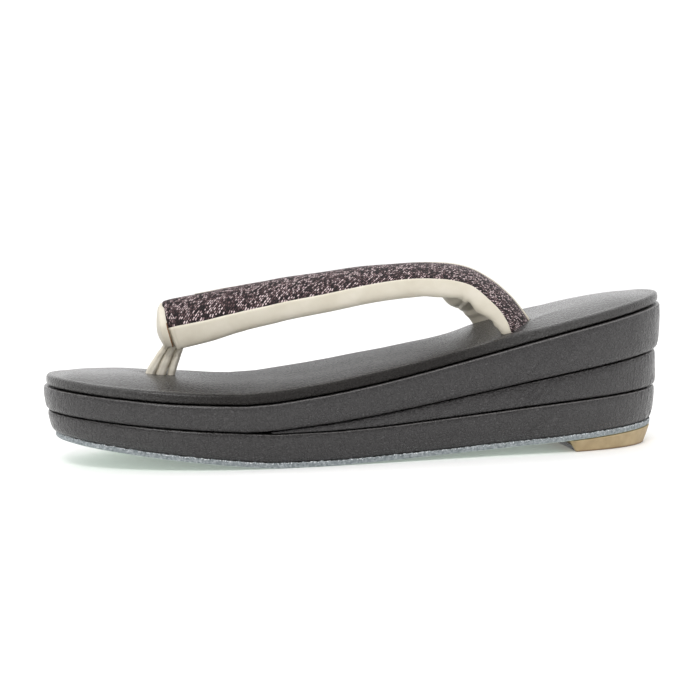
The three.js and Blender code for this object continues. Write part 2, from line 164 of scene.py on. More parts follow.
def outline(columns, start=0.0, fine_ends=2.2):
    """Points and outward normals round the sole, closer together round toe and heel, from the front of
    the -y side to the heel and back along the +y side."""
    turn = np.linspace(np.arccos(1 - 2 * start / LENGTH), np.pi, 6000)
    x = LENGTH / 2 * (1 - np.cos(turn))
    y = -half_width(x)
    run = np.hypot(np.diff(x), np.diff(y))
    ends = fade(38, 14, x) + fade(LENGTH - 38, LENGTH - 14, x)
    weight = np.concatenate([[0], np.cumsum(run * (1 + fine_ends * (ends[1:] + ends[:-1]) / 2))])
    spots = np.linspace(0, weight[-1], columns // 2 + 1)
    x, y = np.interp(spots, weight, x), np.interp(spots, weight, y)
    length = np.concatenate([[0], np.cumsum(np.hypot(np.diff(x), np.diff(y)))])
    normal = np.stack([np.gradient(y), -np.gradient(x)], -1)
    normal /= np.linalg.norm(normal, axis=1, keepdims=True)
    if start == 0:
        normal[0] = (-1, 0)
    normal[-1] = (1, 0)
    near = np.stack([x, y], -1)
    back = slice(-2, 0 if start == 0 else None, -1)
    flip = np.array([1, -1])
    points = np.concatenate([near, near[back] * flip])
    normals = np.concatenate([normal, normal[back] * flip])
    lengths = np.concatenate([length, 2 * length[-1] - length[back]])
    return points, normals, lengths


def layer_rings(around, wall, base, top, wall_rows, lid_rows):
    """Rings of one layer: out from its middle line at the bottom, up its wall by the inset and up
    columns of the wall table, then in over its lid. Also the wall share of each ring, 0 to 1."""
    points, normals, _ = around
    place = np.linspace(0, len(wall["up"]) - 1, wall_rows)
    inset = smooth(range(len(wall["inset"])), wall["inset"], place)
    share = smooth(range(len(wall["up"])), wall["up"], place)
    flat = points[None] - normals[None] * inset[:, None, None]
    flat[..., 1] = np.where(points[:, 1] <= 0, np.minimum(flat[..., 1], 0), np.maximum(flat[..., 1], 0))
    height = base(flat[..., 0]) + (top(flat[..., 0]) - base(flat[..., 0])) * share[:, None]
    rings = np.concatenate([flat, height[..., None]], -1)
    across = np.linspace(1, 0, lid_rows + 1)[1:, None]
    lid = np.repeat(rings[-1:], lid_rows, 0)
    lid[..., 1] *= across
    bottom = rings[:1].copy()
    bottom[..., 1] = 0
    shares = np.concatenate([[0], share, np.ones(lid_rows)])
    return np.concatenate([bottom, rings, lid]), shares


def ring_faces(rows, columns):
    """Quads between neighbouring rings that close round their columns."""
    low = np.arange(rows - 1)[:, None] * columns
    here = np.arange(columns)[None]
    after = (here + 1) % columns
    return np.stack([low + here, low + after, low + columns + after, low + columns + here], -1).reshape(-1, 4)


def make_piece(name, points, faces, material, marks=None, uv=None, crease=60.0):
    """A smooth closed mesh of the points, moved so that the sandal's middle is the origin, its doubles
    merged and its faces outwards. marks are numbers a point that the material reads."""
    mesh = bpy.data.meshes.new(name)
    shifted = (points.reshape(-1, 3) - (LENGTH / 2, 0, 0)) / 1000
    mesh.from_pydata(shifted.tolist(), [], faces.tolist())
    for mark, values in (marks or {}).items():
        layer = mesh.attributes.new(mark, "FLOAT", "POINT")
        layer.data.foreach_set("value", np.ascontiguousarray(values, np.float32).ravel())
    if uv is not None:
        layer = mesh.uv_layers.new(name="cloth_mm")
        layer.data.foreach_set("uv", np.ascontiguousarray(uv, np.float32).ravel())
    shell = bmesh.new()
    shell.from_mesh(mesh)
    bmesh.ops.remove_doubles(shell, verts=shell.verts, dist=2e-6)
    bmesh.ops.recalc_face_normals(shell, faces=shell.faces)
    if shell.calc_volume(signed=True) < 0:
        bmesh.ops.reverse_faces(shell, faces=shell.faces)
    shell.to_mesh(mesh)
    shell.free()
    mesh.shade_smooth()
    mesh.set_sharp_from_angle(angle=np.radians(crease))
    mesh.materials.append(material)
    made = bpy.data.objects.new(name, mesh)
    bpy.context.scene.collection.objects.link(made)
    return made


def linear(code):
    """An sRGB hex colour as linear values: over 0.04045, ((c + 0.055) / 1.055) to the power 2.4."""
    channels = np.array([int(code[i : i + 2], 16) / 255 for i in (1, 3, 5)])
    low, high = channels / 12.92, ((channels + 0.055) / 1.055) ** 2.4
    return (*np.where(channels <= 0.04045, low, high).tolist(), 1.0)


def add(tree, kind, settings=None, **sockets):
    """Adds a node with its settings; each socket gets a number, a colour, or another node's output."""
    made = tree.nodes.new(kind)
    for key, value in (settings or {}).items():
        setattr(made, key, value)
    for key, value in sockets.items():
        name = key.replace("_", " ")
        socket = made.inputs[int(key[1:])] if key[0] == "n" and key[1:].isdigit() else made.inputs[name]
        if isinstance(value, bpy.types.NodeSocket):
            tree.links.new(value, socket)
        else:
            socket.default_value = value
    return made


def new_material(name):
    """An empty node material with its output."""
    material = bpy.data.materials.new(name)
    material.use_nodes = True
    material.node_tree.nodes.clear()
    return material, material.node_tree, add(material.node_tree, "ShaderNodeOutputMaterial")


def ramp(tree, source, stops):
    """A colour ramp of (place, hex colour) stops."""
    made = add(tree, "ShaderNodeValToRGB", Fac=source)
    line = made.color_ramp.elements
    line[0].position, line[0].color = stops[0][0], linear(stops[0][1])
    line[1].position, line[1].color = stops[-1][0], linear(stops[-1][1])
    for place, code in stops[1:-1]:
        line.new(place).color = linear(code)
    return made.outputs["Color"]


def layer_piece(name, rings, shares, material):
    """The mesh of a layer's rings, marked with the wall share of each point."""
    columns = rings.shape[1]
    return make_piece(
        name, rings, ring_faces(len(rings), columns), material, {"up": np.repeat(shares, columns)}
    )


def grained_cowhide(name, shades, painted_highlight, worn, pebble, relief, roughness):
    """Cowhide dyed through, embossed with a pebble grain and finished with a satin topcoat: dark in the
    pores and creases and a little lighter on the pebbles, partly the hide's grain and partly painted
    shade and painted highlight, with a pale painted highlight along each upper edge. The finish is
    worn to the share worn amidships; pebble and relief are the grain's size and depth in mm."""
    material, tree, output = new_material(name)
    place = add(tree, "ShaderNodeTexCoord").outputs["Object"]
    cells = add(
        tree, "ShaderNodeTexVoronoi", {"feature": "DISTANCE_TO_EDGE"}, Vector=place, Scale=1000 / pebble
    )
    pores = add(
        tree, "ShaderNodeTexNoise", Vector=place, Scale=1000 / (pebble * 0.55), Detail=3.0, Roughness=0.6
    )
    cloud = add(tree, "ShaderNodeTexNoise", Vector=place, Scale=1000 / 14.0, Detail=2.0)
    domes = add(
        tree, "ShaderNodeMapRange", {"interpolation_type": "SMOOTHSTEP"}, Value=cells.outputs["Distance"],
        From_Max=0.28
    )
    tall = add(tree, "ShaderNodeMapping", Vector=place, Scale=(1, 1, 0.35))
    creased = add(
        tree, "ShaderNodeTexNoise", Vector=tall.outputs["Vector"], Scale=1000 / (pebble * 1.3), Detail=2.0,
        Distortion=0.8
    )
    skin = add(
        tree, "ShaderNodeMath", {"operation": "MULTIPLY_ADD"}, n0=pores.outputs["Fac"], n1=1.3,
        n2=domes.outputs["Result"]
    )
    height = add(
        tree, "ShaderNodeMath", {"operation": "MULTIPLY_ADD"}, n0=creased.outputs["Fac"], n1=2.2,
        n2=skin.outputs[0]
    )
    # The tone follows the grain's height, darker in pores and creases and lighter on the pebbles: partly the
    # hide's grain, partly painted shade and painted highlight.
    tone = add(
        tree, "ShaderNodeMath", {"operation": "MULTIPLY_ADD"}, n0=height.outputs[0], n1=0.42,
        n2=cloud.outputs["Fac"]
    )
    colour = ramp(tree, tone.outputs[0], [(1.22, shades[0]), (1.5, shades[1]), (1.78, shades[2])])
    up = add(tree, "ShaderNodeAttribute", {"attribute_name": "up"}).outputs["Fac"]
    # A pale painted highlight along the top of each wall, where its up share is 0.94 to 0.98.
    edge = ramp(tree, up, [(0.94, "#000000"), (0.96, "#c4c4c4"), (0.97, "#c4c4c4"), (0.98, "#000000")])
    edge_tone = add(tree, "ShaderNodeMix", {"data_type": "RGBA"}, n0=edge, n6=colour, n7=linear(painted_highlight))
    along = add(tree, "ShaderNodeSeparateXYZ", Vector=place).outputs["X"]
    off = add(tree, "ShaderNodeMath", {"operation": "ADD"}, n0=along, n1=0.015)
    away = add(tree, "ShaderNodeMath", {"operation": "ABSOLUTE"}, n0=off.outputs[0])
    finish = add(
        tree, "ShaderNodeMapRange", {"interpolation_type": "SMOOTHSTEP"}, Value=away.outputs[0],
        From_Min=0.035, From_Max=0.09, To_Min=worn, To_Max=0.5
    )
    gloss = add(
        tree, "ShaderNodeMapRange", Value=pores.outputs["Fac"], To_Min=roughness - 0.07,
        To_Max=roughness + 0.09
    )
    bump = add(tree, "ShaderNodeBump", Strength=1.0, Distance=relief / 1000, Height=height.outputs[0])
    shader = add(
        tree, "ShaderNodeBsdfPrincipled", Base_Color=edge_tone.outputs[2], Roughness=gloss.outputs["Result"],
        IOR=1.5, Normal=bump.outputs["Normal"], Coat_Weight=finish.outputs["Result"],
        Specular_IOR_Level=finish.outputs["Result"], Coat_Roughness=0.22
    )
    tree.links.new(shader.outputs["BSDF"], output.inputs["Surface"])
    return material


# The same cowhide as the core wraps, in lighter shades as painted light for the footbed's top; #74716f is the
# painted highlight along its upper edge.
footbed_hide = grained_cowhide(
    "satin_cowhide_footbed", ("#2d2b2a", "#4b4847", "#676463"), "#74716f", 0.07, 1.3, 0.4, 0.3
)


# Arm of the strap, front to end: along, out and up are shares of the strap's run, spread and rise,
# wide, deep and crown of its width, depth and crown, and tilt and lean the turns of its face and its
# sides in degrees. Most of up, wide, deep and tilt was fitted by least squares to the strap's edges in
# the photograph; along and out go back to points traced on it, and were then changed.
STRAP_FRONT, STRAP_RUN, STRAP_RISE, STRAP_SPREAD = 43.0, 137.0, 34.0, 25.0
STRAP_WIDTH, STRAP_DEPTH, STRAP_CROWN, STRAP_SINK = 20.0, 8.0, 3.1, 2.8
FAR_BACK = 2.7
FACE_THICKNESS, RIM = 1.0, 1.0
ARM = {
    "along": (
        0.012, 0.037, 0.124, 0.234, 0.358, 0.518, 0.657, 0.753, 0.836, 0.904, 0.953, 0.983, 1.01, 1.032
    ),
    "out": (0.128, 0.144, 0.276, 0.43, 0.572, 0.74, 0.86, 0.93, 0.955, 0.96, 0.95, 0.935, 0.925, 0.915),
    "up": (0.72, 0.758, 0.846, 0.95, 0.998, 1.006, 0.962, 0.882, 0.746, 0.508, 0.262, 0.03, -0.228, -0.448),
    "wide": (0.74, 0.78, 0.83, 0.87, 0.94, 0.99, 1.01, 1.02, 0.99, 0.95, 0.92, 0.9, 0.88, 0.88),
    "deep": (1.38, 1.35, 1.27, 1.13, 1.08, 1.05, 1.04, 1.01, 0.96, 0.92, 0.73, 0.56, 0.56, 0.56),
    "tilt": (47, 47, 43, 36, 29, 22, 16, 17, 21, 29, 37, 46, 46, 46),
    "lean": (4, 4, 6, 8, 8, 8, 8, 8, 10, 14, 20, 25, 26, 26),
    "crown": (1, 1, 1, 1, 0.97, 0.9, 0.75, 0.6, 0.5, 0.5, 0.5, 0.5, 0.5, 0.5),
}
ARM_END = len(ARM["along"]) - 1


def arm_value(column, place):
    """Value of a column at a place counted in table rows."""
    return smooth(range(ARM_END + 1), ARM[column], place)


def arm_centre(place):
    """Middle of the face between its seams: over the footbed's edge height by the up column."""
    x = STRAP_FRONT + STRAP_RUN * arm_value("along", place)
    y = -STRAP_SPREAD * arm_value("out", place)
    return np.stack([x, y, pad_base(x) + PAD_EDGE + STRAP_RISE * arm_value("up", place)], -1)


def arm_frames(place):
    """Centre, across and rise directions, half width, depth and crown of the arm at places: the
    path's direction gives the side and the upright, turned by tilt and lean."""
    unit = lambda v: v / np.linalg.norm(v, axis=-1, keepdims=True)
    way = unit(arm_centre(place + 0.05) - arm_centre(place - 0.05))
    side = unit(np.cross((0, 0, 1), way))
    upright = np.cross(way, side)
    tilt = np.radians(arm_value("tilt", place))[:, None]
    lean = np.radians(arm_value("lean", place))[:, None]
    across = side * np.cos(tilt) + upright * np.sin(tilt)
    rise = upright * np.cos(lean) - side * np.sin(lean)
    half = STRAP_WIDTH * arm_value("wide", place) / 2
    depth, crown = STRAP_DEPTH * arm_value("deep", place), STRAP_CROWN * arm_value("crown", place)
    return arm_centre(place), across, rise, half, depth, crown


def arm_under(half, depth, turn):
    """Underside of a section from its inner to its outer seam: a superellipse with flat sides."""
    wide = np.sign(np.cos(turn)) * np.abs(np.cos(turn)) ** 0.64
    return half[:, None] * wide, -depth[:, None] * np.abs(np.sin(turn)) ** 0.64


def arm_rings(frames, a, b):
    """Points at the section coordinates a across and b along the rise of each frame."""
    centre, across, rise = frames[:3]
    return centre[:, None] + across[:, None] * a[..., None] + rise[:, None] * b[..., None]


def hull_distance(points, corners):
    """Distance of flat points outside a convex outline, negative inside: the largest over its sides."""
    hull = np.array([corners[i] for i in convex_hull_2d([tuple(c) for c in corners.tolist()])])
    side = np.roll(hull, -1, 0) - hull
    out = np.stack([side[:, 1], -side[:, 0]], -1) / np.linalg.norm(side, axis=1, keepdims=True)
    if np.mean((hull.mean(0) - hull) * out) > 0:
        out = -out
    return np.max([(points - h) @ o for h, o in zip(hull, out)], 0)


def pad_surface(x, share):
    """Height of the footbed's top: its edge height and a flat dome that falls off sideways as 1 - share^3."""
    return pad_base(x) + PAD_EDGE + smooth(PAD_DOME["at"], PAD_DOME["rise"], x) * (1 - share**3)


# Thong cords, front to back: top and foot are distances behind the strap's front.
CORD_BREADTH, CORD_SINK = 6.4, 3.4
CORDS = {
    "top": (3.6, 6.0, 8.6),
    "foot": (-4.3, -0.3, 3.9),
    "thick_top": (2.7, 3.6, 3.1),
    "thick_foot": (3.7, 4.1, 2.9),
}
PAD_POCKET = 3.5
ARM_SWELL, ARM_SWELL_REACH, CORD_DENT, CORD_DENT_REACH = 0.7, 6.0, 0.3, 4.0
FAR_HOLLOW, FAR_HOLLOW_AT, FAR_HOLLOW_REACH = 1.3, 160.0, 26.0
PUCKERS, PUCKER_HEIGHT = 13, 0.07
PAD_COLUMNS, PAD_WALL_ROWS, PAD_LID_ROWS = 1100, 18, 52
PAD_WAVE, PAD_WAVE_LENGTH = 0.10, 26.0


def footbed_rings():
    """The layer's rings with the dome on its lid, softly uneven, trodden lower beside the far
    arm, with a pocket for each arm's end and for the thong's foot; the hide swells and puckers a little
    round the arms, and dips at the thong."""
    around = outline(PAD_COLUMNS, fine_ends=1.2)
    low, high = (lambda x: pad_base(x) + SEAM), (lambda x: pad_base(x) + PAD_EDGE)
    rings, shares = layer_rings(around, PAD_WALL, low, high, PAD_WALL_ROWS, PAD_LID_ROWS)
    lid = slice(PAD_WALL_ROWS, None)
    rim = np.maximum(np.abs(rings[PAD_WALL_ROWS, :, 1]), 1e-6)
    across = np.clip(np.abs(rings[lid, :, 1]) / rim, 0, 1)
    rings[lid, :, 2] = pad_surface(rings[lid, :, 0], across)
    x, y = rings[..., 0], rings[..., 1]
    inside = fade(0.55, 1, shares)[:, None]
    rings[..., 2] -= FAR_HOLLOW * inside * np.exp(
        -(((x - FAR_HOLLOW_AT) / FAR_HOLLOW_REACH) ** 2)
    ) * fade(4, 30, y)
    rings[..., 2] += PAD_WAVE * inside * ripple(rings[..., :2], PAD_WAVE_LENGTH, 3) * fade(0, 8, rim)
    frames = arm_frames(np.linspace(10.5, 13, 60))
    section = arm_rings(frames, *arm_under(frames[3], frames[4], np.linspace(0, np.pi, 24)))
    top = arm_rings(frames, frames[3][:, None] * np.linspace(-1, 1, 9), np.full((60, 9), 1.6))
    shell = np.concatenate([section.reshape(-1, 3), top.reshape(-1, 3)])
    level = np.abs(shell[:, 2] - pad_surface(shell[:, 0], np.abs(shell[:, 1]) / half_width(shell[:, 0])))
    foot = shell[level < 1.0][:, :2]
    cord_x = STRAP_FRONT + np.array([CORDS["foot"][0] - 1.4, CORDS["foot"][2] + 2.2])
    turn = np.linspace(0, 2 * np.pi, 24, endpoint=False)
    knot = np.stack([cord_x.mean() + np.cos(turn) * np.ptp(cord_x) / 2, np.sin(turn) * 3.2], -1)
    flat = np.stack([x - FAR_BACK * (y > 0) * fade(120, 150, x), -np.abs(y)], -1).reshape(-1, 2)
    for corners, lift, reach in ((foot, ARM_SWELL, ARM_SWELL_REACH), (knot, -CORD_DENT, CORD_DENT_REACH)):
        away = hull_distance(flat, corners).reshape(x.shape)
        middle = corners.mean(0)
        angle = np.arctan2(-np.abs(y) - middle[1], x - middle[0])
        folds = np.cos(PUCKERS * angle + 1.4 * np.sin(2 * angle + 0.7))
        rings[..., 2] += inside * lift * np.exp(-((np.maximum(away, 0) / reach) ** 2))
        rings[..., 2] += inside * PUCKER_HEIGHT * folds * np.exp(-((away - 1.5) / 3.0) ** 2)
        rings[..., 2] -= inside * PAD_POCKET * fade(-0.7, -1.9, away) * (shares >= 1)[:, None]
    return rings, shares


rings, shares = footbed_rings()
footbed = layer_piece("footbed", rings, shares, footbed_hide)
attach(footbed, "root")
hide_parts("footbed_pad")

# Core layers
# Three cork layers, two that run the whole length and a wedge between them, each wrapped in the same
# cowhide. The wrap is gathered round toe and heel, where it creases upright, and glued under each layer.
LOWER_WALL = {
    "inset": (4.2, 3.6, 2.9, 2.3, 1.85, 1.7, 1.8, 2.3, 3.9, 5.4),
    "up": (0, 0.04, 0.14, 0.34, 0.6, 0.8, 0.92, 0.972, 0.981, 1)
}
WEDGE_WALL = {
    "inset": (5.0, 3.6, 2.5, 1.9, 1.7, 1.75, 1.95, 2.5, 4.0, 5.4),
    "up": (0, 0.015, 0.027, 0.11, 0.4, 0.7, 0.9, 0.969, 0.98, 1)
}
UPPER_WALL = {
    "inset": (4.6, 3.0, 1.7, 0.8, 0.2, 0, 0.1, 0.65, 2.4, 4.4),
    "up": (0, 0.012, 0.022, 0.1, 0.33, 0.6, 0.9, 0.971, 0.981, 1)
}
WAVINESS, WAVE_LENGTH = 0.07, 17.0
GATHER, GATHER_SPACING = 0.08, 1.5
WEDGE_START, LOWER_SHIFT, CORE_COLUMNS = 81.3, -0.45, 1300
CREASES = {
    "at": (172, 177, 181, 186, 190, 195, 168, 201),
    "up": (0.3, 0.42, 0.36, 0.52, 0.34, 0.6, 0.55, 0.3),
    "run": (4.0, 5.5, 6.5, 5.5, 5.0, 4.0, 3.5, 3.5),
    "slope": (34, 40, 44, 47, 52, 50, 30, 58),
    "deep": (0.12, 0.2, 0.25, 0.22, 0.18, 0.15, 0.1, 0.12),
}


def core_rings(around, wall, base, top, seed):
    """A layer's rings, their walls pushed out and in by soft waves, by upright gathers round toe and
    heel, and by the creases of the table, each a soft trough along a slanted line."""
    rings, shares = layer_rings(around, wall, base, top, 30, 2)
    _, normals, lengths = around
    x = rings[..., 0]
    height = shares[:, None] * (top(x) - base(x))
    on_wall = (fade(0, 0.06, shares) * fade(1.0, 0.97, shares))[:, None]
    spot = np.stack([np.broadcast_to(lengths, x.shape), height], -1)
    push = WAVINESS * ripple(spot, WAVE_LENGTH, seed)
    ends = fade(34, 6, x) + fade(LENGTH - 36, LENGTH - 6, x)
    edges = 0.6 + 0.8 * np.abs(2 * shares[:, None] - 1)
    push += GATHER * ends * edges * ripple(spot * (1, 0.25), GATHER_SPACING, seed + 1)
    for at, up, run, slope, deep in zip(*CREASES.values()):
        turn = np.radians(slope)
        along = (x - at) * np.cos(turn) + (height - up * (top(x) - base(x))) * np.sin(turn)
        off = (height - up * (top(x) - base(x))) * np.cos(turn) - (x - at) * np.sin(turn)
        push -= deep * np.exp(-((along / run) ** 2)) * (
            np.exp(-((off / 0.5) ** 2)) - 0.6 * np.exp(-(((off - 0.9) / 0.7) ** 2))
        )
    rings[..., :2] += (push * on_wall)[..., None] * normals[None]
    return rings, shares


# 8f8c8b is the painted highlight along the top edge of each core layer.
core_hide = grained_cowhide(
    "satin_cowhide_core_wrap", ("#252223", "#3e3a3b", "#575354"), "#8f8c8b", 0.46, 1.4, 0.45, 0.33
)
for name, node, wall, base, top, start, shift, seed in (
    ("upper_core_wrap", "upper_core", UPPER_WALL, upper_base, pad_base, 0, 0, 11),
    ("wedge_core_wrap", "wedge_core", WEDGE_WALL, wedge_base, upper_base, WEDGE_START, 0, 12),
    ("lower_core_wrap", "lower_core", LOWER_WALL, lower_base, wedge_base, 0, LOWER_SHIFT, 13),
):
    low, high = (lambda x, f=base: f(x) + SEAM), (lambda x, f=top: f(x) - SEAM)
    rings, shares = core_rings(outline(CORE_COLUMNS, start), wall, low, high, seed)
    rings[..., 0] += shift
    wrap = layer_piece(name, rings, shares, core_hide)
    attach(wrap, "root")
    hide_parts(node)

# Outsole
# One sheet of chrome-tanned split leather, cut after glueing, so its blue-grey edge is fibrous and
# frayed along its upper side. Its underside is sueded and a paler green.
OUTSOLE_WALL = {"inset": (4.3, 3.95, 3.85, 3.8, 3.9), "up": (0, 0.1, 0.5, 0.9, 1)}
FRAY = 0.22


def outsole_rings():
    """The sheet's rings with an uneven edge, whose upper rows are torn up and out by a fine ripple."""
    around = outline(2000, fine_ends=0.4)
    rings, shares = layer_rings(around, OUTSOLE_WALL, sole_height, lambda x: lower_base(x) - GAP / 2, 12, 2)
    lengths = np.broadcast_to(around[2], rings.shape[:2])
    spot = np.stack([lengths, rings[..., 2]], -1)
    on_wall = (fade(0, 0.3, shares) * (shares < 1) + (np.arange(len(shares)) == 12))[:, None]
    push = 0.06 * ripple(spot, 2.2, 21) + 0.05 * ripple(spot, 0.9, 22)
    rings[..., :2] += (push * on_wall)[..., None] * around[1][None]
    torn = FRAY * np.clip(ripple(spot, 2.6, 23) + 0.6 * ripple(spot, 1.1, 24), -1, 1.2)
    rings[..., 2] += torn * fade(0.6, 1, shares)[:, None] * (np.arange(len(shares)) <= 12)[:, None]
    return rings, shares


def chrome_leather():
    """Chrome-tanned split leather, knife-cut and sueded: matt, mottled blue-grey fibres on the cut edge,
    pale tufts where it frays, and an even green-grey nap underneath."""
    material, tree, output = new_material("chrome_tanned_split_leather")
    place = add(tree, "ShaderNodeTexCoord").outputs["Object"]
    up = add(tree, "ShaderNodeAttribute", {"attribute_name": "up"}).outputs["Fac"]
    fibre = add(tree, "ShaderNodeTexNoise", Vector=place, Scale=1000 / 0.9, Detail=4.0, Roughness=0.7)
    speck = add(tree, "ShaderNodeTexNoise", Vector=place, Scale=1000 / 0.45, Detail=2.0)
    edge = ramp(tree, fibre.outputs["Fac"], [(0.32, "#62696c"), (0.5, "#858c8f"), (0.68, "#b2b7ba")])
    nap = ramp(tree, fibre.outputs["Fac"], [(0.3, "#b2c9ba"), (0.7, "#d0e0d4")])
    side = add(tree, "ShaderNodeMapRange", Value=up, From_Max=0.12)
    skin = add(tree, "ShaderNodeMix", {"data_type": "RGBA"}, n0=side.outputs["Result"], n6=nap, n7=edge)
    torn = add(tree, "ShaderNodeMath", {"operation": "MULTIPLY_ADD"}, n0=speck.outputs["Fac"], n1=1.6, n2=up)
    tuft = add(tree, "ShaderNodeMapRange", Value=torn.outputs[0], From_Min=1.74, From_Max=1.94)
    colour = add(
        tree, "ShaderNodeMix", {"data_type": "RGBA"}, n0=tuft.outputs["Result"], n6=skin.outputs[2],
        n7=linear("#e6e9eb")
    )
    bump = add(tree, "ShaderNodeBump", Strength=1.0, Distance=0.00018, Height=fibre.outputs["Fac"])
    shader = add(
        tree, "ShaderNodeBsdfPrincipled", Base_Color=colour.outputs[2], Roughness=0.92,
        Normal=bump.outputs["Normal"], Sheen_Weight=0.2, Sheen_Roughness=0.5
    )
    tree.links.new(shader.outputs["BSDF"], output.inputs["Surface"])
    return material


rings, shares = outsole_rings()
outsole = layer_piece("outsole_sheet", rings, shares, chrome_leather())
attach(outsole, "root")
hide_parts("outsole")

# Heel lift
# A moulded block of tan rubber under the heel, narrower at the floor, with rounded front corners and a
# darker lower edge. It is glued to the outsole.
LIFT_FROM, LIFT_INSET, LIFT_CORNER, LIFT_HOLLOW = 0.813, 3.9, 4.5, 5.0
LIFT_WALL = {"inset": (3.0, 2.4, 2.2, 1.2, 0.1, 0.4), "up": (0, 0.04, 0.12, 0.5, 0.97, 1)}


def lift_outline():
    """Outline inset from the sole's, from the middle of the front round the +x end and back, with
    quarter-circle front corners and a front edge hollowed as 1 - share^2; its normals come from its
    own direction."""
    start = LIFT_FROM * LENGTH
    points, normals, _ = outline(900, start, 0.5)
    half = len(points) // 2 + 1
    side = (points - normals * LIFT_INSET)[:half]
    side = side[side[:, 0] > start + LIFT_CORNER]
    turn = np.linspace(0, np.pi / 2, 24)
    wide = -side[0, 1]
    corner = np.stack(
        [start + LIFT_CORNER * (1 - np.sin(turn)), -wide + LIFT_CORNER * (1 - np.cos(turn))], -1
    )[::-1]
    front = np.stack([np.full(24, start), -np.linspace(0, wide - LIFT_CORNER, 25)[:-1]], -1)
    near = np.concatenate([front, corner, side])
    near[-1, 1] = 0
    near[:, 0] += LIFT_HOLLOW * (1 - (near[:, 1] / wide) ** 2) * fade(start + 14, start, near[:, 0])
    loop = np.concatenate([near, (near * (1, -1))[-2:0:-1]])
    way = np.roll(loop, -1, 0) - np.roll(loop, 1, 0)
    normal = np.stack([way[:, 1], -way[:, 0]], -1)
    return loop, normal / np.linalg.norm(normal, axis=1, keepdims=True), None


def moulded_rubber():
    """Moulded tan rubber: a matt, faintly cloudy skin with fine pits, darker towards its lower edge."""
    material, tree, output = new_material("moulded_tan_rubber")
    place = add(tree, "ShaderNodeTexCoord").outputs["Object"]
    up = add(tree, "ShaderNodeAttribute", {"attribute_name": "up"}).outputs["Fac"]
    cloud = add(tree, "ShaderNodeTexNoise", Vector=place, Scale=1000 / 6.0, Detail=5.0, Roughness=0.6)
    pits = add(tree, "ShaderNodeTexNoise", Vector=place, Scale=1000 / 0.5, Detail=2.0)
    skin = ramp(tree, cloud.outputs["Fac"], [(0.3, "#9c8764"), (0.7, "#b9a580")])
    # Darker towards the lower edge, below an up share of 0.16.
    edge_tone = add(tree, "ShaderNodeMapRange", Value=up, From_Min=0.16, From_Max=0.02)
    colour = add(
        tree, "ShaderNodeMix", {"data_type": "RGBA"}, n0=edge_tone.outputs["Result"], n6=skin,
        n7=linear("#6d5335")
    )
    bump = add(tree, "ShaderNodeBump", Strength=0.6, Distance=0.00006, Height=pits.outputs["Fac"])
    shader = add(
        tree, "ShaderNodeBsdfPrincipled", Base_Color=colour.outputs[2], Roughness=0.6, IOR=1.52,
        Normal=bump.outputs["Normal"]
    )
    tree.links.new(shader.outputs["BSDF"], output.inputs["Surface"])
    return material


rings, shares = layer_rings(lift_outline(), LIFT_WALL, lambda x: 0 * x, lambda x: sole_height(x) - GAP, 22, 2)
lift = layer_piece("heel_lift_block", rings, shares, moulded_rubber())
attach(lift, "root")
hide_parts("heel_lift")

# Strap body
# Two padded arms covered in smooth cream leather, joined at the front and sunk into the footbed at the
# back. On the inside of the rear bend the leather has too much length and folds into puckers.
FOLDS = {
    "at": (6.8, 7.6, 8.15, 8.8, 9.2, 9.9),
    "deep": (0.4, 1.0, 0.6, 1.4, 0.7, 1.0),
    "wide": (0.25, 0.2, 0.12, 0.24, 0.12, 0.22),
    "skew": (1.2, -0.9, 0.8, 1.6, -0.8, 0.9),
}
NOSE_ROUND = 0.7
FAR_SAG = 2.3
ARM_SECTIONS = 420
CLOTH_SHIFT = (61.7, 9.3)
SAG_FRONT, SAG_BACK, SHIFT_FRONT, SHIFT_BACK = (2, 26), (2, 34), 60, 25
# Places along the arm over which the cream turns to a brown line at the arm's foot.
BROWN_LINE_FROM, BROWN_LINE_TO = 11.15, 11.55


def nose_round(place):
    """Share of the section's size at the rounded front end: a quarter circle up to 1."""
    return np.sqrt(1 - (1 - np.clip(place / NOSE_ROUND, 0.02, 1)) ** 2)


def face_crown(a, half, crown):
    """Height of the brocade over the seam line, a parabola across the arm."""
    return 0.4 + crown[:, None] * np.maximum(0, 1 - (a / (half[:, None] - RIM)) ** 2)


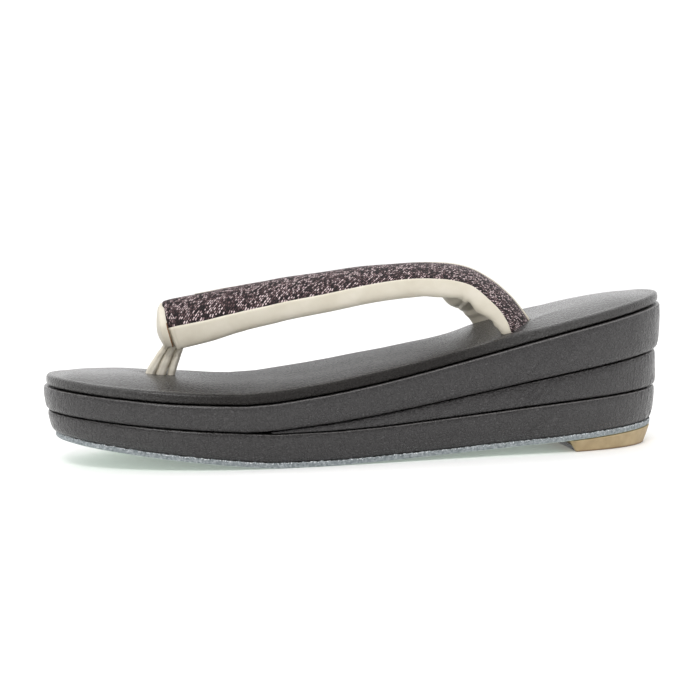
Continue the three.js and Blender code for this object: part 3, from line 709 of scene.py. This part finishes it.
def joined_arms(name, rings, material, uv=None, marks=None):
    """One arm as a tube of rings, cut at the middle plane and along the footbed, its foot closed, then
    joined with its mirror image, which lies a little lower in its middle and goes in further back.
    The cloth's place on the other arm is moved on, as from another cut."""
    rows, columns = rings.shape[:2]
    middles = rings.mean(1, keepdims=True)
    closed = np.concatenate([np.repeat(middles[:1], columns, 1), rings, np.repeat(middles[-1:], columns, 1)])
    faces = ring_faces(rows + 2, columns)
    mesh = bpy.data.meshes.new(name + "_arm")
    mesh.from_pydata(closed.reshape(-1, 3).tolist(), [], faces.tolist())
    for mark, values in (marks or {}).items():
        layer = mesh.attributes.new(mark, "FLOAT", "POINT")
        padded = np.concatenate([values[:1], values, values[-1:]])
        layer.data.foreach_set("value", np.ascontiguousarray(padded, np.float32).ravel())
    if uv is not None:
        cloth = np.concatenate([uv[:1], uv, uv[-1:]]).reshape(-1, 2)
        mesh.uv_layers.new(name="cloth_mm").data.foreach_set("uv", cloth[faces].astype(np.float32).ravel())
    foot_x = STRAP_FRONT + STRAP_RUN * ARM["along"][-3]
    slope = (pad_base(foot_x + 5) - pad_base(foot_x - 5)) / 10
    shell = bmesh.new()
    shell.from_mesh(mesh)
    bmesh.ops.remove_doubles(shell, verts=shell.verts, dist=1e-4)
    everything = lambda: [*shell.verts, *shell.edges, *shell.faces]
    spot = Vector((foot_x, 0, pad_base(foot_x) + PAD_EDGE - STRAP_SINK))
    bmesh.ops.bisect_plane(shell, geom=everything(), plane_co=spot, plane_no=(slope, 0, -1), clear_outer=True)
    bmesh.ops.holes_fill(shell, edges=[e for e in shell.edges if e.is_boundary])
    bmesh.ops.bisect_plane(shell, geom=everything(), plane_co=(0, 0, 0), plane_no=(0, 1, 0), clear_outer=True)
    bmesh.ops.triangulate(shell, faces=shell.faces)
    shell.to_mesh(mesh)
    shell.free()
    count, triangles = len(mesh.vertices), len(mesh.polygons)
    points, corners = np.zeros(count * 3), np.zeros(triangles * 3, int)
    mesh.vertices.foreach_get("co", points)
    mesh.loops.foreach_get("vertex_index", corners)
    points, corners = points.reshape(-1, 3), corners.reshape(-1, 3)
    both = {}
    for mark in marks or {}:
        values = np.zeros(count)
        mesh.attributes[mark].data.foreach_get("value", values)
        both[mark] = np.tile(values, 2)
    cloth = None
    if uv is not None:
        cloth = np.zeros(triangles * 6)
        mesh.uv_layers["cloth_mm"].data.foreach_get("uv", cloth)
        cloth = cloth.reshape(triangles, 3, 2)
        cloth = np.concatenate([cloth, cloth[:, ::-1] + CLOTH_SHIFT])
    bpy.data.meshes.remove(mesh)
    front, back = STRAP_FRONT, STRAP_FRONT + STRAP_RUN
    sag = fade(front + SAG_FRONT[0], front + SAG_FRONT[1], points[:, 0])
    sag *= fade(back - SAG_BACK[0], back - SAG_BACK[1], points[:, 0])
    shift = FAR_BACK * fade(front + SHIFT_FRONT, back - SHIFT_BACK, points[:, 0])
    climb = pad_base(points[:, 0] + shift) - pad_base(points[:, 0])
    far = points * (1, -1, 1) + np.stack([shift, 0 * shift, climb - FAR_SAG * sag], -1)
    mirrored = np.concatenate([points, far])
    return make_piece(
        name, mirrored, np.concatenate([corners, corners[:, ::-1] + count]), material, both, cloth
    )


def depth_middle(frames):
    """Depth below the seam line of the point that the front end is rounded towards."""
    return 0.4 * frames[4]


def strap_body_rings():
    """Superellipse underside, folded rims beside the cloth and a bed under it. Between places 7 and 10
    the underside and the lower sides are pulled in along slanted troughs."""
    place = np.linspace(0, ARM_END, ARM_SECTIONS)
    frames = arm_frames(place)
    half, depth = frames[3], frames[4]
    turn = np.linspace(0, np.pi, 49)
    low_a, low_b = arm_under(half, depth, turn)
    cross = np.cos(turn)[None]
    folds = np.zeros((len(place), len(turn)))
    for at, deep, wide, skew in zip(*FOLDS.values()):
        off = place[:, None] - at - 0.35 * skew * cross
        folds += deep * (np.exp(-((off / wide) ** 2)) - 0.45 * np.exp(-(((off - 1.5 * wide) / wide) ** 2)))
    depth_share = np.abs(np.sin(turn))[None] ** 2
    inner = fade(-0.3, 0.8, cross)
    pull = folds * (0.7 + 0.3 * inner) * depth_share
    low_b = low_b + pull
    low_a = low_a - 0.45 * pull * np.sign(cross) * np.abs(cross) ** 0.5
    bed = np.linspace(-1, 1, 21)[None] * (half[:, None] - RIM)
    bed_b = face_crown(bed, half, frames[5]) - FACE_THICKNESS - GAP
    rim = np.array([[0.02, 0.22], [0.16, 0.42], [0.42, 0.5], [0.75, 0.47], [0.97, 0.36]])
    outer_a = -half[:, None] + rim[:, 0] * RIM
    rim_b = np.broadcast_to(rim[:, 1], outer_a.shape)
    inner_b = rim_b[:, ::-1] - 0.9 * fade(5.5, 3.5, place)[:, None]
    a = np.concatenate([low_a, outer_a, bed, -outer_a[:, ::-1]], 1)
    b = np.concatenate([low_b, rim_b, bed_b, inner_b], 1)
    size = nose_round(place)[:, None]
    middle = -depth_middle(frames)[:, None]
    return arm_rings(frames, a * size, middle + (b - middle) * size), np.repeat(place[:, None], a.shape[1], 1)


def smooth_cream_leather():
    """Fine calf leather, dyed cream and lightly waxed: an even pale skin with a very fine grain and a
    brown line where it goes into the footbed."""
    material, tree, output = new_material("smooth_cream_calf")
    place = add(tree, "ShaderNodeTexCoord").outputs["Object"]
    cloud = add(tree, "ShaderNodeTexNoise", Vector=place, Scale=1000 / 9.0, Detail=3.0)
    grain = add(tree, "ShaderNodeTexVoronoi", {"feature": "DISTANCE_TO_EDGE"}, Vector=place, Scale=1000 / 0.6)
    pores = add(tree, "ShaderNodeTexNoise", Vector=place, Scale=1000 / 0.4, Detail=2.0)
    height = add(
        tree, "ShaderNodeMath", {"operation": "MULTIPLY_ADD"}, n0=pores.outputs["Fac"], n1=0.5,
        n2=grain.outputs["Distance"]
    )
    skin = ramp(tree, cloud.outputs["Fac"], [(0.3, "#c7bfae"), (0.5, "#cec7b7"), (0.7, "#d5cec0")])
    foot = add(tree, "ShaderNodeAttribute", {"attribute_name": "place"}).outputs["Fac"]
    # Brown along the arms' foot, where the place mark passes about 11.2, and on the band's rear edge.
    brown_line = add(
        tree, "ShaderNodeMapRange", {"interpolation_type": "SMOOTHSTEP"}, Value=foot, From_Min=BROWN_LINE_FROM,
        From_Max=BROWN_LINE_TO
    )
    colour = add(
        tree, "ShaderNodeMix", {"data_type": "RGBA"}, n0=brown_line.outputs["Result"], n6=skin, n7=linear("#7a5433")
    )
    bump = add(tree, "ShaderNodeBump", Strength=0.6, Distance=0.00005, Height=height.outputs[0])
    shader = add(
        tree, "ShaderNodeBsdfPrincipled", Base_Color=colour.outputs[2], Roughness=0.48, IOR=1.48,
        Normal=bump.outputs["Normal"]
    )
    tree.links.new(shader.outputs["BSDF"], output.inputs["Surface"])
    return material


cream_leather = smooth_cream_leather()
rings, places = strap_body_rings()
strap = joined_arms("strap_padding", rings, cream_leather, marks={"place": places})
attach(strap, "root")
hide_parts("strap_body")

# Brocade
# A strip of jacquard cloth laid over the padding and sewn in along both rims. Pinkish floats of thick
# silk lie in slanted, broken rows over a near-black ground.
ROW_SPACING, FLOAT_LENGTH, ROW_SLANT = 0.66, 1.25, -36.0
FACE_COLUMNS = 33


def brocade_rings():
    """A sheet of even thickness with rounded edges, crowned as the padding is; u runs along the arm
    and v across it, in millimetres."""
    place = np.linspace(0, ARM_END, ARM_SECTIONS)
    frames = arm_frames(place)
    half = frames[3]
    inner = half[:, None] - RIM - 0.05
    share = np.concatenate([np.linspace(1, -1, FACE_COLUMNS), np.linspace(-1, 1, 17)[1:-1]])
    a = inner * share[None]
    edge = 1 - np.abs(share[None]) ** 14
    top = face_crown(a, half, frames[5]) - 0.35 * (1 - edge)
    low = face_crown(a, half, frames[5]) - FACE_THICKNESS
    b = np.where(np.arange(len(share))[None] < FACE_COLUMNS, top, low)
    size = nose_round(place)[:, None]
    middle = -depth_middle(frames)[:, None]
    run = np.concatenate([[0], np.cumsum(np.linalg.norm(np.diff(frames[0], axis=0), axis=1))])
    cloth = np.stack([np.broadcast_to(run[:, None], a.shape), a], -1)
    return arm_rings(frames, a * size, middle + (b - middle) * size), cloth


def jacquard_brocade():
    """Jacquard brocade: rows of thick pinkish silk floats over a dark aubergine ground. The rows are
    slanted and broken, each float has its own tone, and cloudy patches have fewer light floats."""
    material, tree, output = new_material("jacquard_silk_brocade")
    cloth = add(tree, "ShaderNodeUVMap", {"uv_map": "cloth_mm"}).outputs["UV"]
    turned = add(tree, "ShaderNodeMapping", Vector=cloth, Rotation=(0, 0, np.radians(ROW_SLANT)))
    stray = add(tree, "ShaderNodeTexNoise", Vector=cloth, Scale=0.8, Detail=1.0)
    shift = add(
        tree, "ShaderNodeVectorMath", {"operation": "MULTIPLY_ADD"}, n0=stray.outputs["Color"],
        n1=(0.6, 0.5, 0), n2=turned.outputs["Vector"]
    )
    floats = add(
        tree, "ShaderNodeTexBrick",
        {"offset": 0.5, "offset_frequency": 2, "squash": 0.75, "squash_frequency": 3},
        Vector=shift.outputs["Vector"], Scale=1.0, Color1=(0, 0, 0, 1), Color2=(1, 1, 1, 1),
        Mortar=(0, 0, 0, 1), Mortar_Size=0.19, Mortar_Smooth=0.6, Bias=0.0, Brick_Width=FLOAT_LENGTH,
        Row_Height=ROW_SPACING
    )
    patch = add(tree, "ShaderNodeTexNoise", Vector=cloth, Scale=1 / 7.0, Detail=1.0)
    fuzz = add(tree, "ShaderNodeTexNoise", Vector=cloth, Scale=1 / 0.6, Detail=2.0)
    tone = add(
        tree, "ShaderNodeMath", {"operation": "MULTIPLY_ADD"}, n0=patch.outputs["Fac"], n1=0.5, n2=-0.52
    )
    lit = add(tree, "ShaderNodeMath", {"operation": "ADD"}, n0=floats.outputs["Color"], n1=tone.outputs[0])
    worn = add(
        tree, "ShaderNodeMath", {"operation": "MULTIPLY_ADD"}, n0=fuzz.outputs["Fac"], n1=1.0,
        n2=lit.outputs[0]
    )
    open_share = add(tree, "ShaderNodeMath", {"operation": "SUBTRACT"}, n0=1.0, n1=floats.outputs["Fac"])
    silk = ramp(
        tree, worn.outputs[0], [(0.38, "#1b1012"), (0.64, "#5a4244"), (0.92, "#9f8687"), (1.25, "#d3bebf")]
    )
    colour = add(
        tree, "ShaderNodeMix", {"data_type": "RGBA"}, n0=open_share.outputs[0], n6=linear("#160d11"), n7=silk
    )
    height = add(
        tree, "ShaderNodeMath", {"operation": "MULTIPLY_ADD"}, n0=open_share.outputs[0], n1=1.0,
        n2=fuzz.outputs["Fac"]
    )
    bump = add(tree, "ShaderNodeBump", Strength=1.0, Distance=0.00022, Height=height.outputs[0])
    shader = add(
        tree, "ShaderNodeBsdfPrincipled", Base_Color=colour.outputs[2], Roughness=0.7,
        Normal=bump.outputs["Normal"], Specular_IOR_Level=0.25, Sheen_Weight=0.08, Sheen_Roughness=0.4
    )
    tree.links.new(shader.outputs["BSDF"], output.inputs["Surface"])
    return material


rings, cloth = brocade_rings()
brocade = joined_arms("strap_brocade", rings, jacquard_brocade(), uv=cloth)
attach(brocade, "root")
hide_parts("strap_face")

# Toe band and cords
# A band of the cream leather is folded round the front of the strap and closed behind, and three
# rolled leather cords hang from it and go down through the footbed between the toes.
# Band from its bottom to its top: front and back are distances of its edges behind the strap's front.
BAND = {"up": (0, 0.25, 0.5, 0.75, 1), "front": (2.3, 1.1, 0.3, 0.2, 0.9), "back": (5.4, 4.2, 3.1, 2.5, 2.2)}
BAND_THICKNESS, BAND_REACH = 1.0, 0.93
BAND_COLUMNS, BAND_SECTION_AT, BAND_BROWN_LINE = 180, 1.6, 11.7


def nose_loop(x, count):
    """Outline of both arms' front sections in the upright plane at x, convex and rounded, as (y, z)."""
    first, second = (STRAP_FRONT + STRAP_RUN * along for along in ARM["along"][:2])
    place = np.array([max(0, (x - first) / (second - first))])
    frames = arm_frames(place)
    half, depth = frames[3], frames[4]
    low_a, low_b = arm_under(half, depth, np.linspace(0, np.pi, 40))
    top_a = half[:, None] * np.linspace(-0.97, 0.97, 30)
    top_b = 0.5 + STRAP_CROWN * (1 - np.linspace(-0.97, 0.97, 30) ** 2)[None]
    section = arm_rings(
        frames, np.concatenate([low_a, top_a], 1), np.concatenate([low_b, top_b], 1)
    )[0, :, 1:]
    section = section[section[:, 0] < 0.4]
    both = np.concatenate([section, section * (-1, 1)])
    hull = both[convex_hull_2d([tuple(p) for p in both.tolist()])]
    hull = np.concatenate([hull, hull[:1]])
    run = np.concatenate([[0], np.cumsum(np.linalg.norm(np.diff(hull, axis=0), axis=1))])
    spots = np.linspace(0, run[-1], count, endpoint=False)
    loop = np.stack([np.interp(spots, run, hull[:, i]) for i in (0, 1)], -1)
    for _ in range(3):
        loop = (np.roll(loop, 1, 0) + 2 * loop + np.roll(loop, -1, 0)) / 4
    return loop


def band_rings():
    """The band's rounded profile carried round the nose between the front and back edges of the
    table, closed by a domed front and a flat back as share^2 and share; towards the top it goes in
    under the cloth. Its rear edge carries a brown line."""
    first = STRAP_FRONT + STRAP_RUN * ARM["along"][0]
    loop = nose_loop(first + BAND_SECTION_AT, BAND_COLUMNS)
    way = np.roll(loop, -1, 0) - np.roll(loop, 1, 0)
    out = np.stack([way[:, 1], -way[:, 0]], -1) / np.linalg.norm(way, axis=1, keepdims=True)
    out *= np.sign(np.sum(out * (loop - loop.mean(0))))
    low, high = loop[:, 1].min(), loop[:, 1].max()
    loop[:, 1] = high - (high - loop[:, 1]) * BAND_REACH
    up = (loop[:, 1] - high) / (high - low) / BAND_REACH + 1
    grip = fade(0.98, 0.72, up)
    turn = np.linspace(0, np.pi, 17)[:, None]
    front, back = smooth(BAND["up"], BAND["front"], up), smooth(BAND["up"], BAND["back"], up)
    along = np.sign(np.cos(turn)) * np.abs(np.cos(turn)) ** 0.9
    sheet = BAND_THICKNESS * fade(-0.05, 0.3, up) * (0.5 + 0.5 * np.sin(turn) ** 0.8)
    thick = GAP / 2 + sheet - 2.2 * (1 - grip)
    x = STRAP_FRONT + (front + back) / 2 + along * (back - front) / 2
    skin = np.concatenate([x[..., None], loop[None] + out[None] * thick[..., None]], -1)
    middle = skin.mean((0, 1))
    share = np.linspace(0, 1, 9)[:, None, None]
    behind = middle + (skin[:1] - middle) * share[:-1]
    tip = middle * (0, 1, 1) + (STRAP_FRONT - 0.5, 0, 0)
    ahead = tip + (skin[-1:] - tip) * np.concatenate([share**2, share, share], -1)[-2::-1]
    brown_line = np.zeros((len(behind) + len(skin) + len(ahead), len(loop)))
    brown_line[len(behind) : len(behind) + len(skin)] = BAND_BROWN_LINE * (np.degrees(turn) < 50) * fade(0.62, 0.5, up)
    return np.concatenate([behind, skin, ahead]), low, brown_line


rings, band_low, brown_line = band_rings()
band = make_piece("toe_band", rings, ring_faces(len(rings), rings.shape[1]), cream_leather, {"place": brown_line})


CORD_ROWS, CORD_COLUMNS = 60, 40


def cord_rings(top, foot, thick_top, thick_foot, seed):
    """A rolled cord: an oval carried down a bent line, wider at its foot, with a fold that
    winds slowly down it."""
    t = np.linspace(0, 1, CORD_ROWS)[:, None]
    floor = pad_surface(STRAP_FRONT + foot, 0.0) - CORD_SINK
    x = STRAP_FRONT + foot + (top - foot) * t**1.3
    z = floor + (band_low + 2.2 - floor) * t
    turn = np.linspace(0, 2 * np.pi, CORD_COLUMNS, endpoint=False)[None]
    swell = 1 + 0.1 * np.sin(np.pi * t) + 0.04 * ripple(
        np.concatenate([t * 24, t * 0], 1), 7.0, seed
    )[:, None]
    fold = 1 - 0.13 * np.exp(-(((turn - 4.2 - 0.5 * np.sin(2 * t + seed)) / 0.4) ** 2))
    thick = thick_foot + (thick_top - thick_foot) * fade(0.2, 1, t)
    a = np.cos(turn) * thick / 2 * swell * fold
    b = np.sin(turn) * CORD_BREADTH / 2 * swell * fold
    rings = np.stack([x + a, b + 0.3 * np.sin(3 * t + seed), z + 0 * a], -1)
    middle = rings.mean(1, keepdims=True)
    ends = np.repeat(middle, CORD_COLUMNS, 1)
    return np.concatenate([ends[:1], rings, ends[-1:]])


for number, sizes in enumerate(zip(*CORDS.values())):
    rings = cord_rings(*sizes, number)
    cord = make_piece(
        f"toe_cord_{number + 1}", rings, ring_faces(len(rings), CORD_COLUMNS), cream_leather,
        {"place": np.zeros(rings.shape[:2])}
    )
    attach(cord, "root")
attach(band, "root")
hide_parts("toe_thong")

# Floor and light
# A white table lit faintly from below, without a horizon, a broad soft light overhead, a smaller one
# high in front, and a white surround that is dimmer on the camera's side.
floor_mesh = bpy.data.meshes.new("floor")
floor_mesh.from_pydata([(-90, -90, 0), (90, -90, 0), (90, 90, 0), (-90, 90, 0)], [], [(0, 1, 2, 3)])
floor = bpy.data.objects.new("floor", floor_mesh)
bpy.context.scene.collection.objects.link(floor)


def sanded_acrylic():
    """White acrylic sheet, sanded matt and lit faintly from below: even, with soft, pale shadows."""
    material, tree, output = new_material("sanded_white_acrylic")
    place = add(tree, "ShaderNodeTexCoord").outputs["Object"]
    tooth = add(tree, "ShaderNodeTexNoise", Vector=place, Scale=900.0, Detail=2.0)
    colour = ramp(tree, tooth.outputs["Fac"], [(0.3, "#ebebea"), (0.7, "#ededec")])
    shader = add(
        tree, "ShaderNodeBsdfPrincipled", Base_Color=colour, Roughness=0.7, Specular_IOR_Level=0.3,
        Emission_Color=(1, 1, 1, 1), Emission_Strength=0.15
    )
    tree.links.new(shader.outputs["BSDF"], output.inputs["Surface"])
    return material


floor_mesh.materials.append(sanded_acrylic())

for name, place, size, power, look in (
    ("softbox_top", (0.0, 0.12, 1.1), (1.5, 1.1), 2.5, (0, 0, 0.03)),
    ("softbox_front", (-0.35, -1.05, 1.25), (0.6, 0.4), 12.0, (0, 0, 0.03)),
):
    light = bpy.data.objects.new(name, bpy.data.lights.new(name, "AREA"))
    bpy.context.scene.collection.objects.link(light)
    light.data.shape = "RECTANGLE"
    light.data.size, light.data.size_y = size
    light.data.energy = power
    light.location = place
    light.rotation_euler = (Vector(look) - Vector(place)).to_track_quat("-Z", "Y").to_euler()

world = bpy.data.worlds.new("white_surround")
world.use_nodes = True
sky = world.node_tree
facing = add(sky, "ShaderNodeSeparateXYZ", Vector=add(sky, "ShaderNodeTexCoord").outputs["Generated"])
surround = add(
    sky, "ShaderNodeMapRange", {"interpolation_type": "SMOOTHSTEP"}, Value=facing.outputs["Y"], From_Min=-0.8,
    From_Max=0.05, To_Min=0.52, To_Max=1.22
)
sky.nodes["Background"].inputs["Color"].default_value = (1, 1, 1, 1)
sky.links.new(surround.outputs["Result"], sky.nodes["Background"].inputs["Strength"])
bpy.context.scene.world = world
bpy.context.scene.view_settings.view_transform = "Standard"
